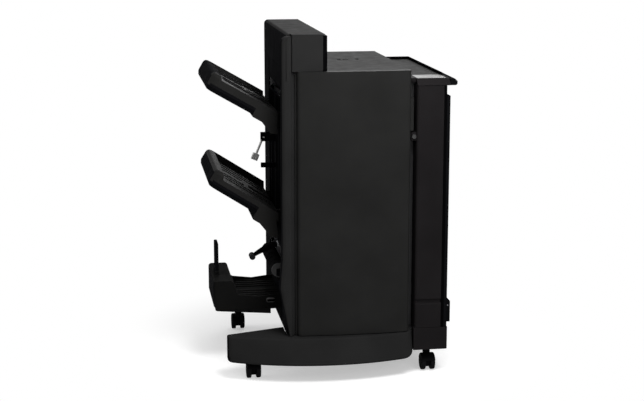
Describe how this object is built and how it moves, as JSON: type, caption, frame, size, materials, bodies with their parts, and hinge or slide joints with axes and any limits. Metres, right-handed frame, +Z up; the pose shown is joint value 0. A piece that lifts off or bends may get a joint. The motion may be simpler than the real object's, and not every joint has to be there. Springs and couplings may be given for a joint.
{
  "type": "booklet maker",
  "caption": "Floor-standing copier finisher that staples sheets onto sloping lift trays and folds stitched booklets into a low tray, on casters, with a front door.",
  "frame": {"origin": "on the floor, under the middle of the whole machine's bounding box", "axes": "+Z up; -Y is the side with the front door; +X is the side where the copier stands and sheets enter; -X is the side with the trays"},
  "size_m": [0.74, 0.656, 1.04],
  "materials": {
    "cover_black": "fine grained matt black plastic",
    "door_black": "satin black plastic",
    "wall_black": "matt deep black plastic",
    "top_black": "satin black plastic that shines at a low angle",
    "tray_black": "fine grained black plastic",
    "unit_black": "dull black plastic housing",
    "sheet_steel": "zinc plated sheet steel",
    "shaft_steel": "ground bright steel",
    "latch_steel": "zinc plated steel",
    "motor_metal": "dark painted die casting",
    "roller_rubber": "dull black rubber",
    "roller_grey": "dull grey rubber",
    "flag_grey": "satin light grey plastic",
    "socket_black": "satin black plastic",
    "caster_black": "satin black plastic",
    "wheel_grey": "dull dark grey plastic tread"
  },
  "bodies": {
    "cabinet": {"front_base_cover": "cover_black", "rear_base_cover": "cover_black", "inlet_base_cover": "cover_black", "front_left_pillar": "cover_black", "tower_cover": "cover_black", "rear_cover": "cover_black", "inlet_front_panel": "cover_black", "inlet_lower_panel": "cover_black", "delivery_front_panel": "wall_black", "delivery_rear_panel": "wall_black", "delivery_bottom_panel": "wall_black", "delivery_top_panel": "wall_black", "delivery_middle_panel": "wall_black", "inlet_side_cover": "wall_black", "inlet_guide": "wall_black", "docking_bracket": "wall_black", "inlet_top_cover": "top_black", "booklet_tray": "tray_black", "saddle_stitcher": "unit_black", "front_base_beam": "sheet_steel", "rear_base_beam": "sheet_steel", "floor_plate": "sheet_steel", "front_side_plate": "sheet_steel", "rear_side_plate": "sheet_steel", "middle_stay": "sheet_steel", "lower_stay": "sheet_steel", "front_lift_rail": "shaft_steel", "rear_lift_rail": "shaft_steel", "stapler_rail": "shaft_steel", "drive_motor": "motor_metal", "power_inlet": "socket_black"},
    "front_door": {"front_door": "door_black", "door_inner_panel": "sheet_steel"},
    "top_cover": {"top_cover": "top_black"},
    "upper_tray": {"upper_tray": "tray_black", "upper_tray_undercover": "wall_black"},
    "lower_tray": {"lower_tray": "tray_black", "lower_tray_undercover": "wall_black"},
    "stack_flag": {"stack_flag": "flag_grey"},
    "press_arm": {"booklet_press_arm": "tray_black"},
    "press_roller": {"press_roller": "roller_rubber"},
    "booklet_exit_roller": {"booklet_exit_roller": "roller_grey"},
    "upper_exit_roller": {"upper_exit_roller": "roller_rubber"},
    "lower_exit_roller": {"lower_exit_roller": "roller_rubber"},
    "upper_inlet_roller": {"upper_inlet_roller": "roller_rubber"},
    "lower_inlet_roller": {"lower_inlet_roller": "roller_rubber"},
    "upper_fold_roller": {"upper_fold_roller": "roller_grey"},
    "lower_fold_roller": {"lower_fold_roller": "roller_grey"},
    "stapler": {"stapler": "unit_black"},
    "booklet_stop": {"booklet_stop": "tray_black"},
    "docking_latch": {"docking_latch": "latch_steel"},
    "door_button": {"door_button": "flag_grey"},
    "front_left_caster": {"front_left_caster_fork": "caster_black"},
    "front_left_wheels": {"front_left_caster_wheels": "wheel_grey"},
    "front_right_caster": {"front_right_caster_fork": "caster_black"},
    "front_right_wheels": {"front_right_caster_wheels": "wheel_grey"},
    "rear_left_caster": {"rear_left_caster_fork": "caster_black"},
    "rear_left_wheels": {"rear_left_caster_wheels": "wheel_grey"},
    "rear_right_caster": {"rear_right_caster_fork": "caster_black"},
    "rear_right_wheels": {"rear_right_caster_wheels": "wheel_grey"}
  },
  "joints": [
    {"name": "front_door_hinge", "type": "hinge", "parent": "cabinet", "child": "front_door", "pos_m": [-0.101, -0.26, 0.137], "axis": [0, 0, -1], "range_deg": [0, 110]},
    {"name": "top_cover_hinge", "type": "hinge", "parent": "cabinet", "child": "top_cover", "pos_m": [-0.024, 0.317, 0.926], "axis": [-1, 0, 0], "range_deg": [0, 70]},
    {"name": "upper_tray_lift", "type": "slide", "parent": "cabinet", "child": "upper_tray", "axis": [0, 0, 1], "range_m": [-0.03, 0.12]},
    {"name": "lower_tray_lift", "type": "slide", "parent": "cabinet", "child": "lower_tray", "axis": [0, 0, 1], "range_m": [-0.03, 0.12]},
    {"name": "stack_flag_hinge", "type": "hinge", "parent": "cabinet", "child": "stack_flag", "pos_m": [-0.176, 0.028, 0.698], "axis": [0, 1, 0], "range_deg": [-20, 0], "stiffness_Nm_per_rad": 0.03, "springref_deg": 20.05},
    {"name": "press_arm_hinge", "type": "hinge", "parent": "cabinet", "child": "press_arm", "pos_m": [-0.128, 0.028, 0.352], "axis": [0, 1, 0], "range_deg": [0, 35]},
    {"name": "press_roller_spin", "type": "hinge", "parent": "press_arm", "child": "press_roller", "pos_m": [-0.215, 0.028, 0.315], "axis": [0, 1, 0], "continuous": true},
    {"name": "booklet_exit_roller_spin", "type": "hinge", "parent": "cabinet", "child": "booklet_exit_roller", "pos_m": [-0.146, 0.028, 0.3], "axis": [0, 1, 0], "continuous": true},
    {"name": "upper_exit_roller_spin", "type": "hinge", "parent": "cabinet", "child": "upper_exit_roller", "pos_m": [-0.11, -0.172, 0.8628], "axis": [0, 1, 0], "continuous": true},
    {"name": "lower_exit_roller_spin", "type": "hinge", "parent": "cabinet", "child": "lower_exit_roller", "pos_m": [-0.11, -0.172, 0.8432], "axis": [0, 1, 0], "continuous": true},
    {"name": "upper_inlet_roller_spin", "type": "hinge", "parent": "cabinet", "child": "upper_inlet_roller", "pos_m": [0.33, -0.172, 0.8803], "axis": [0, 1, 0], "continuous": true},
    {"name": "lower_inlet_roller_spin", "type": "hinge", "parent": "cabinet", "child": "lower_inlet_roller", "pos_m": [0.33, -0.172, 0.8597], "axis": [0, 1, 0], "continuous": true},
    {"name": "upper_fold_roller_spin", "type": "hinge", "parent": "cabinet", "child": "upper_fold_roller", "pos_m": [-0.02, -0.172, 0.3153], "axis": [0, 1, 0], "continuous": true},
    {"name": "lower_fold_roller_spin", "type": "hinge", "parent": "cabinet", "child": "lower_fold_roller", "pos_m": [-0.02, -0.172, 0.2847], "axis": [0, 1, 0], "continuous": true},
    {"name": "stapler_slide", "type": "slide", "parent": "cabinet", "child": "stapler", "axis": [0, 1, 0], "range_m": [0, 0.38]},
    {"name": "booklet_stop_hinge", "type": "hinge", "parent": "cabinet", "child": "booklet_stop", "pos_m": [-0.329, 0.028, 0.2723], "axis": [0, 1, 0], "range_deg": [0, 85]},
    {"name": "docking_latch_hinge", "type": "hinge", "parent": "cabinet", "child": "docking_latch", "pos_m": [0.3566, -0.225, 0.207], "axis": [0, -1, 0], "range_deg": [0, 60]},
    {"name": "door_button_press", "type": "slide", "parent": "cabinet", "child": "door_button", "axis": [0, 1, 0], "range_m": [0, 0.003], "stiffness_N_per_m": 300, "springref_m": -0.004},
    {"name": "front_left_caster_swivel", "type": "hinge", "parent": "cabinet", "child": "front_left_caster", "pos_m": [-0.24, -0.217, 0.072], "axis": [0, 0, 1], "continuous": true},
    {"name": "front_left_wheels_roll", "type": "hinge", "parent": "front_left_caster", "child": "front_left_wheels", "pos_m": [-0.24, -0.231, 0.025], "axis": [1, 0, 0], "continuous": true},
    {"name": "front_right_caster_swivel", "type": "hinge", "parent": "cabinet", "child": "front_right_caster", "pos_m": [0.299, -0.217, 0.072], "axis": [0, 0, 1], "continuous": true},
    {"name": "front_right_wheels_roll", "type": "hinge", "parent": "front_right_caster", "child": "front_right_wheels", "pos_m": [0.299, -0.231, 0.025], "axis": [1, 0, 0], "continuous": true},
    {"name": "rear_left_caster_swivel", "type": "hinge", "parent": "cabinet", "child": "rear_left_caster", "pos_m": [-0.24, 0.274, 0.072], "axis": [0, 0, 1], "continuous": true},
    {"name": "rear_left_wheels_roll", "type": "hinge", "parent": "rear_left_caster", "child": "rear_left_wheels", "pos_m": [-0.24, 0.288, 0.025], "axis": [1, 0, 0], "continuous": true},
    {"name": "rear_right_caster_swivel", "type": "hinge", "parent": "cabinet", "child": "rear_right_caster", "pos_m": [0.299, 0.274, 0.072], "axis": [0, 0, 1], "continuous": true},
    {"name": "rear_right_wheels_roll", "type": "hinge", "parent": "rear_right_caster", "child": "rear_right_wheels", "pos_m": [0.299, 0.288, 0.025], "axis": [1, 0, 0], "continuous": true}
  ],
  "couplings": [
    {"joint": "lower_exit_roller_spin", "follows": "upper_exit_roller_spin", "ratio": -1},
    {"joint": "lower_inlet_roller_spin", "follows": "upper_inlet_roller_spin", "ratio": -1},
    {"joint": "lower_fold_roller_spin", "follows": "upper_fold_roller_spin", "ratio": -1}
  ]
}
